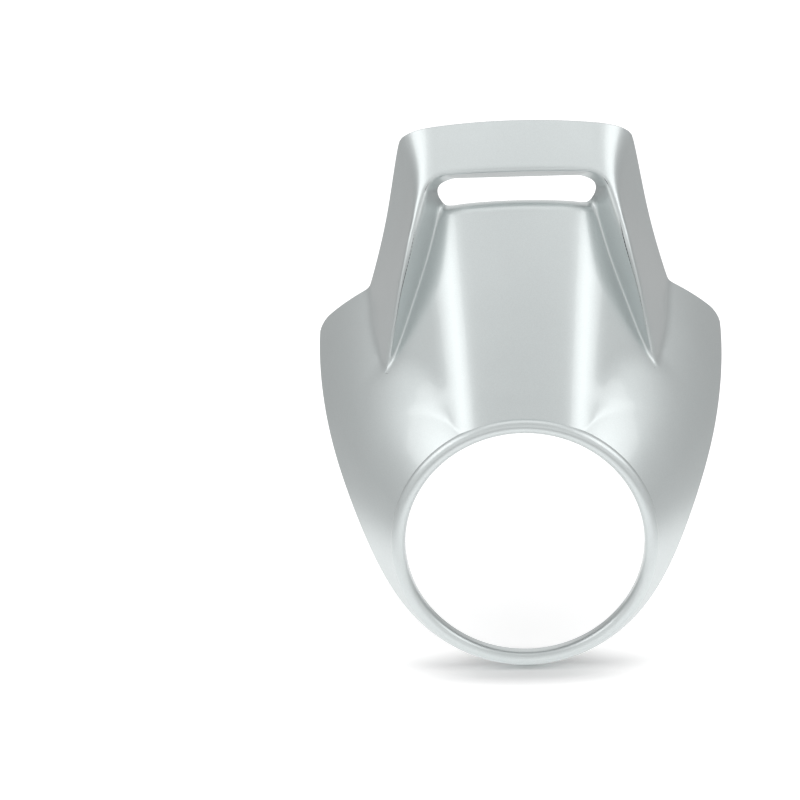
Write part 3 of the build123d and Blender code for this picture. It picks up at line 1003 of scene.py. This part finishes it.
def studio_paper(colour):
    """White seamless paper, matt, its colour painted brightest round the cowl and dimmer further out as
    painted light falloff, and white wherever the camera sees it.
    """
    values = {"Roughness": 0.9, "Specular IOR Level": 0.0, "Emission Color": WHITE}
    made, add, shader, where = principled("seamless_paper", values)

    def fade(near, far, start, end, depth=1.0):
        """A level that changes with the distance from the lip, over an ellipse of that flatness."""
        flat = add("ShaderNodeVectorMath", {"operation": "MULTIPLY", 0: where, 1: (1, depth, 0)})
        out = add("ShaderNodeVectorMath", {"operation": "LENGTH", 0: flat}).outputs["Value"]
        soft = {"interpolation_type": "SMOOTHSTEP", **span(out, near, far, start, end)}
        return add("ShaderNodeMapRange", soft)

    # The camera sees white paper, apart from the shadow where the lip stands on it
    # Painted light falloff: the paper's colour is scaled down away from the lip, standing in for less
    # light there
    light = fade(PAPER_NEAR, PAPER_FAR, 1.0, PAPER_PAINTED_DIM)
    shadow = fade(SHADOW_NEAR, SHADOW_FAR, 0.0, 1.0, SHADOW_FLAT)
    white = add("ShaderNodeMath", {"operation": "SUBTRACT", 0: PAPER_WHITE, 1: light})
    white = add("ShaderNodeMath", {"operation": "MULTIPLY", 0: white, 1: shadow})
    # Painted reflection: near the cowl the paper glows for glossy rays only, so the metal reflects a
    # brighter floor there
    gloss = fade(GLOSS_NEAR, GLOSS_FAR, PAPER_PAINTED_GLOW, 0.0)
    gloss = add("ShaderNodeMath", {"operation": "MULTIPLY", 0: gloss, 1: background_seen(add)})
    camera = add("ShaderNodeLightPath").outputs["Is Camera Ray"]
    glow = add("ShaderNodeMix", {"data_type": "FLOAT", "Factor": camera, "A": gloss, "B": white})
    # The tooth of the paper, about 1 mm
    tooth = add("ShaderNodeTexNoise", {"Scale": 1 / 0.001, "Detail": 2.0, "Vector": where})
    dent = add("ShaderNodeBump", {"Strength": 0.3, "Distance": 0.0001, "Height": tooth})
    return dress(made, shader, colour, light, {"Normal": dent, "Emission Strength": glow})


def studio_air():
    """A white studio: plain light on everything, and softer greys low behind and in front for gloss."""
    made = bpy.data.worlds.new("studio_air")
    made.use_nodes = True
    made.node_tree.nodes.clear()
    add = partial(add_node, made.node_tree)
    way = add("ShaderNodeTexCoord").outputs["Generated"]
    axis = add("ShaderNodeSeparateXYZ", {"Vector": way}).outputs
    across = add("ShaderNodeMath", {"operation": "ABSOLUTE", 0: axis["X"]})
    level = {}
    for name, source, *ends in (
        ("rear", axis["Y"], 0.1, 0.6, 0.0, 1.0),
        ("middle", axis["Z"], 0.5, 0.95, AIR_REAR, 0.0),
        ("middle width", across, 0.2, 0.5, 1.0, 0.0),
        ("aside", axis["Z"], 0.15, 0.45, AIR_SIDE, 0.0),
        ("aside width", across, 0.2, 0.5, 0.0, 1.0),
        ("front", axis["Y"], -0.8, -0.3, AIR_FRONT, 0.0),
        ("front height", axis["Z"], 0.35, 0.65, 1.0, 0.0),
        ("all", axis["Z"], 0.4, 0.9, AIR_LEVEL, AIR_TOP),
    ):
        soft = {"interpolation_type": "SMOOTHSTEP", **span(source, *ends)}
        level[name] = add("ShaderNodeMapRange", soft)
    for name, kind, other in (
        ("middle", "MULTIPLY", "middle width"),
        ("aside", "MULTIPLY", "aside width"),
        ("middle", "ADD", "aside"),
        ("rear", "MULTIPLY", "middle"),
        ("front", "MULTIPLY", "front height"),
        ("all", "ADD", "rear"),
        ("all", "ADD", "front"),
    ):
        level[name] = add("ShaderNodeMath", {"operation": kind, 0: level[name], 1: level[other]})
    gloss, white, plain = (
        add("ShaderNodeBackground", {"Color": WHITE, "Strength": strength})
        for strength in (level["all"], 1.0, AIR_PLAIN)
    )
    path = add("ShaderNodeLightPath").outputs["Is Camera Ray"]
    seen = add("ShaderNodeMixShader", {0: path, 1: gloss, 2: white})
    mix = add("ShaderNodeMixShader", {0: background_seen(add), 1: plain, 2: seen})
    add("ShaderNodeOutputWorld", {"Surface": mix})
    return made


# Settings


def length_setting(name, description, default):
    """A setting in metres."""
    looks = {"subtype": "DISTANCE", "unit": "LENGTH"}
    return FloatProperty(name=name, description=description, default=default, **looks)


def colour_setting(name, description, default):
    """A setting of a colour, from an sRGB hex value."""
    looks = {"size": 4, "subtype": "COLOR", "min": 0, "max": 1}
    return FloatVectorProperty(name=name, description=description, default=linear(default), **looks)


class CowlSizes(PropertyGroup):
    """Sizes of the cowl that a user would change."""

    opening: length_setting("Opening radius", "Radius of the lamp opening", 0.093)
    lip_roll: length_setting("Lip roll", "Radius of the rolled lip round the opening", 0.00575)
    wall: length_setting("Wall", "Thickness of the shell", 0.003)
    crest_round: length_setting("Crest radius", "Round along the two crests of the hood", 0.055)
    valley_round: length_setting("Valley radius", "Round where the flanks meet the pillars", 0.002)
    ridge_round: length_setting("Ridge radius", "Round along the ridge of each pillar", 0.0025)
    blend_round: length_setting("Blend radius", "Soft round where the flanks run into the nacelle", 0.030)
    thread_pitch: length_setting("Thread pitch", "Rise of the inserts' thread in one turn", 0.001)


class CowlColours(PropertyGroup):
    """Colours of the cowl and its studio."""

    lacquer: colour_setting("Lacquer", "Colour of the silver base coat", "#D1D7D7")
    back: colour_setting("Back", "Colour of the bare moulded plastic inside", "#8A8D8E")
    brass: colour_setting("Brass", "Colour of the threaded inserts", "#D9B56A")
    floor: colour_setting("Floor", "Colour of the studio floor", "#F4F4F4")


# Operators


def add_object(context, name, data):
    """A new object in the scene."""
    made = bpy.data.objects.new(name, data)
    context.collection.objects.link(made)
    return made


class COWL_OT_shell(Operator):
    """Build the moulded shell in silver lacquer"""

    bl_idname = "cowl.shell"
    bl_label = "Build shell"

    def execute(self, context):
        global shape
        shape = Shape(context.scene.cowl_sizes)
        colours = context.scene.cowl_colours
        mesh = build_shell_mesh()
        mesh.materials.append(silver_lacquer(list(colours.lacquer)))
        mesh.materials.append(moulded_back(list(colours.back)))
        piece = add_object(context, "cowl_skin", mesh)
        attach(piece, "root")
        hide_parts("cowl_shell")
        return {"FINISHED"}


class COWL_OT_inserts(Operator):
    """Build the four threaded inserts in the bosses"""

    bl_idname = "cowl.inserts"
    bl_label = "Build threaded inserts"

    def execute(self, context):
        scene = context.scene
        body = add_object(context, "insert_body", build_insert_mesh())
        tree = insert_nodes(turned_brass(list(scene.cowl_colours.brass)))
        modifier = body.modifiers.new("threaded_inserts", "NODES")
        modifier.node_group = tree
        hood_seat, side_seat = ([value * MM for value in seat] for seat in BOSS_SEATS)
        values = {"Hood seat": hood_seat, "Side seat": side_seat}
        values["Thread pitch"] = scene.cowl_sizes.thread_pitch
        for item in tree.interface.items_tree:
            if item.name in values:
                modifier[item.identifier] = values[item.name]
        mesh = bpy.data.meshes.new_from_object(body.evaluated_get(context.evaluated_depsgraph_get()))
        bpy.data.objects.remove(body)
        piece = add_object(context, "threaded_inserts", mesh)
        names = [f"{spot}_insert_{side}" for spot in ("hood", "side") for side in ("left", "right")]
        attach(piece, "root")
        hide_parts(*names)
        return {"FINISHED"}


class COWL_OT_stage(Operator):
    """Build the floor, the lamps and the camera"""

    bl_idname = "cowl.stage"
    bl_label = "Build stage"

    def execute(self, context):
        scene = context.scene
        size, low = 6.0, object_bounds()[0][2] - 0.0001
        mesh = bpy.data.meshes.new("studio_floor")
        corners = [(-size, -size, low), (size, -size, low), (size, size, low), (-size, size, low)]
        mesh.from_pydata(corners, [], [(0, 1, 2, 3)])
        mesh.materials.append(studio_paper(list(scene.cowl_colours.floor)))
        add_object(context, "studio_floor", mesh)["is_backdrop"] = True
        scene.world = studio_air()

        # Softboxes that look at the middle of the cowl
        for name, spot, size, level in (
            ("left_softbox", (-1.45, -0.25, 1.15), (1.5, 1.0), SIDE_LEVEL),
            ("right_softbox", (1.45, -0.25, 1.15), (1.5, 1.0), SIDE_LEVEL),
            ("top_softbox", (0, 0.05, 1.15), (1.0, 0.7), TOP_LEVEL),
        ):
            light = bpy.data.lights.new(name, "AREA")
            light.shape = "RECTANGLE"
            light.size, light.size_y = size
            light.energy = level * pi * size[0] * size[1]
            box = add_object(context, name, light)
            box.location = spot
            box.rotation_euler = (Vector((0, 0.1, 0.1)) - box.location).to_track_quat("-Z", "Y").to_euler()

        # The camera of the photo, solved from the round opening and the cowl's symmetry
        camera = bpy.data.cameras.new("camera")
        camera.lens, camera.sensor_width = 109.957, 36
        down, bearing, roll = radians(20.8316), radians(-2.8844), radians(-2.3355)
        ahead = Vector((sin(bearing) * cos(down), cos(bearing) * cos(down), -sin(down)))
        side = Vector((cos(bearing), -sin(bearing), 0))
        up = side.cross(ahead)
        right, top = side * cos(roll) + up * sin(roll), up * cos(roll) - side * sin(roll)
        turn = Matrix((right, top, -ahead)).transposed().to_4x4()
        scene.camera = add_object(context, "camera", camera)
        scene.camera.matrix_world = Matrix.Translation((-0.005002, -1.739081, 0.784663)) @ turn
        scene.view_settings.view_transform = "Standard"
        return {"FINISHED"}


class COWL_PT_parts(Panel):
    """Lists what the cowl is built from"""

    bl_label = "Headlight cowl"
    bl_space_type = "VIEW_3D"
    bl_region_type = "UI"
    bl_category = "Cowl"

    def draw(self, context):
        for group in (context.scene.cowl_sizes, context.scene.cowl_colours):
            for name in type(group).__annotations__:
                self.layout.prop(group, name)
        for operator in STEPS:
            self.layout.operator(operator.bl_idname)


STEPS = (COWL_OT_shell, COWL_OT_inserts, COWL_OT_stage)
CLASSES = (CowlSizes, CowlColours, *STEPS, COWL_PT_parts)


def register():
    for item in CLASSES:
        bpy.utils.register_class(item)
    bpy.types.Scene.cowl_sizes = PointerProperty(type=CowlSizes)
    bpy.types.Scene.cowl_colours = PointerProperty(type=CowlColours)


def unregister():
    del bpy.types.Scene.cowl_sizes
    del bpy.types.Scene.cowl_colours
    for item in reversed(CLASSES):
        bpy.utils.unregister_class(item)


def main():
    """Builds everything."""
    register()
    bpy.ops.cowl.shell()
    bpy.ops.cowl.inserts()
    bpy.ops.cowl.stage()


if __name__ == "__main__":
    main()
